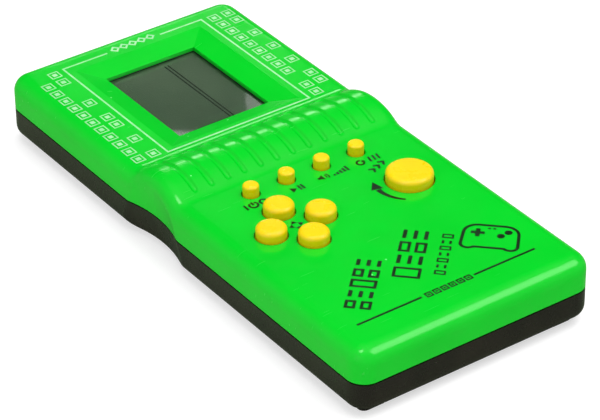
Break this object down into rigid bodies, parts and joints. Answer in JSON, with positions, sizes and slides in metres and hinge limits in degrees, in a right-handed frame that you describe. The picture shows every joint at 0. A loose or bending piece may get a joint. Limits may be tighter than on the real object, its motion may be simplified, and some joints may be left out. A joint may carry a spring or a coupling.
{
  "type": "handheld lcd game",
  "caption": "Slim handheld LCD game: two-part case with a grip roll at its waist, recessed display, round push keys and a sliding battery door.",
  "frame": {"origin": "on the resting plane of the rear panel, below the middle of the case", "axes": "+X to the user's right, +Y towards the display end, +Z out of the face"},
  "size_m": [0.0836, 0.186, 0.0266],
  "materials": {
    "case_green": "glossy moulded ABS",
    "case_black": "semi-gloss moulded ABS",
    "door_black": "semi-gloss moulded ABS with grip ribs",
    "key_yellow": "glossy moulded ABS",
    "lens_clear": "clear polystyrene lens",
    "polariser_film": "satin polarising film",
    "lcd_glass": "liquid crystal glass",
    "reflector_film": "satin silver film",
    "holder_white": "moulded polystyrene",
    "zebra_rubber": "layered conductive silicone",
    "board_brown": "phenolic laminate",
    "carbon_ink": "printed carbon",
    "epoxy_black": "cured resin",
    "capacitor_sleeve": "shrink sleeve",
    "ceramic_orange": "dipped ceramic",
    "resistor_tan": "lacquered body",
    "silicone_grey": "silicone rubber",
    "carbon_rubber": "carbon loaded rubber",
    "brass_plate": "rolled brass",
    "buzzer_ceramic": "silvered ceramic",
    "cell_jacket": "printed steel jacket",
    "spring_steel": "plated wire",
    "contact_steel": "plated strip",
    "lead_insulation_red": "soft vinyl",
    "lead_insulation_black": "soft vinyl",
    "screw_steel": "zinc plated"
  },
  "bodies": {
    "case": {"front_cover": "case_green", "rear_cover": "case_black", "display_lens": "lens_clear", "lcd_polariser": "polariser_film", "lcd_panel": "lcd_glass", "lcd_reflector": "reflector_film", "lcd_holder": "holder_white", "zebra_strips": "zebra_rubber", "circuit_board": "board_brown", "key_contacts": "carbon_ink", "chip_blob": "epoxy_black", "electrolytic_capacitor": "capacitor_sleeve", "ceramic_capacitors": "ceramic_orange", "resistors": "resistor_tan", "function_key_sheet": "silicone_grey", "direction_key_sheet": "silicone_grey", "rotate_key_sheet": "silicone_grey", "buzzer_plate": "brass_plate", "buzzer_disc": "buzzer_ceramic", "buzzer_leads": "lead_insulation_black", "battery_cell_upper": "cell_jacket", "battery_cell_lower": "cell_jacket", "battery_springs": "spring_steel", "battery_contact_plates": "contact_steel", "battery_lead_red": "lead_insulation_red", "battery_lead_black": "lead_insulation_black", "board_screws": "screw_steel", "case_screws": "screw_steel", "power_dome": "silicone_grey", "start_pause_dome": "silicone_grey", "sound_dome": "silicone_grey", "reset_dome": "silicone_grey", "up_dome": "silicone_grey", "down_dome": "silicone_grey", "left_dome": "silicone_grey", "right_dome": "silicone_grey", "rotate_dome": "silicone_grey"},
    "power_key": {"power_cap": "key_yellow", "power_pill": "carbon_rubber"},
    "start_pause_key": {"start_pause_cap": "key_yellow", "start_pause_pill": "carbon_rubber"},
    "sound_key": {"sound_cap": "key_yellow", "sound_pill": "carbon_rubber"},
    "reset_key": {"reset_cap": "key_yellow", "reset_pill": "carbon_rubber"},
    "up_key": {"up_cap": "key_yellow", "up_pill": "carbon_rubber"},
    "down_key": {"down_cap": "key_yellow", "down_pill": "carbon_rubber"},
    "left_key": {"left_cap": "key_yellow", "left_pill": "carbon_rubber"},
    "right_key": {"right_cap": "key_yellow", "right_pill": "carbon_rubber"},
    "rotate_key": {"rotate_cap": "key_yellow", "rotate_pill": "carbon_rubber"},
    "door": {"battery_door": "door_black"}
  },
  "joints": [
    {"name": "power_press", "type": "slide", "parent": "case", "child": "power_key", "axis": [0, 0, -1], "range_m": [0, 0.0012], "stiffness_N_per_m": 600, "deforming": ["power_dome"]},
    {"name": "start_pause_press", "type": "slide", "parent": "case", "child": "start_pause_key", "axis": [0, 0, -1], "range_m": [0, 0.0012], "stiffness_N_per_m": 600, "deforming": ["start_pause_dome"]},
    {"name": "sound_press", "type": "slide", "parent": "case", "child": "sound_key", "axis": [0, 0, -1], "range_m": [0, 0.0012], "stiffness_N_per_m": 600, "deforming": ["sound_dome"]},
    {"name": "reset_press", "type": "slide", "parent": "case", "child": "reset_key", "axis": [0, 0, -1], "range_m": [0, 0.0012], "stiffness_N_per_m": 600, "deforming": ["reset_dome"]},
    {"name": "up_press", "type": "slide", "parent": "case", "child": "up_key", "axis": [0, 0, -1], "range_m": [0, 0.0012], "stiffness_N_per_m": 600, "deforming": ["up_dome"]},
    {"name": "down_press", "type": "slide", "parent": "case", "child": "down_key", "axis": [0, 0, -1], "range_m": [0, 0.0012], "stiffness_N_per_m": 600, "deforming": ["down_dome"]},
    {"name": "left_press", "type": "slide", "parent": "case", "child": "left_key", "axis": [0, 0, -1], "range_m": [0, 0.0012], "stiffness_N_per_m": 600, "deforming": ["left_dome"]},
    {"name": "right_press", "type": "slide", "parent": "case", "child": "right_key", "axis": [0, 0, -1], "range_m": [0, 0.0012], "stiffness_N_per_m": 600, "deforming": ["right_dome"]},
    {"name": "rotate_press", "type": "slide", "parent": "case", "child": "rotate_key", "axis": [0, 0, -1], "range_m": [0, 0.0012], "stiffness_N_per_m": 600, "deforming": ["rotate_dome"]},
    {"name": "door_slide", "type": "slide", "parent": "case", "child": "door", "axis": [0, -1, 0], "range_m": [0, 0.042]}
  ]
}
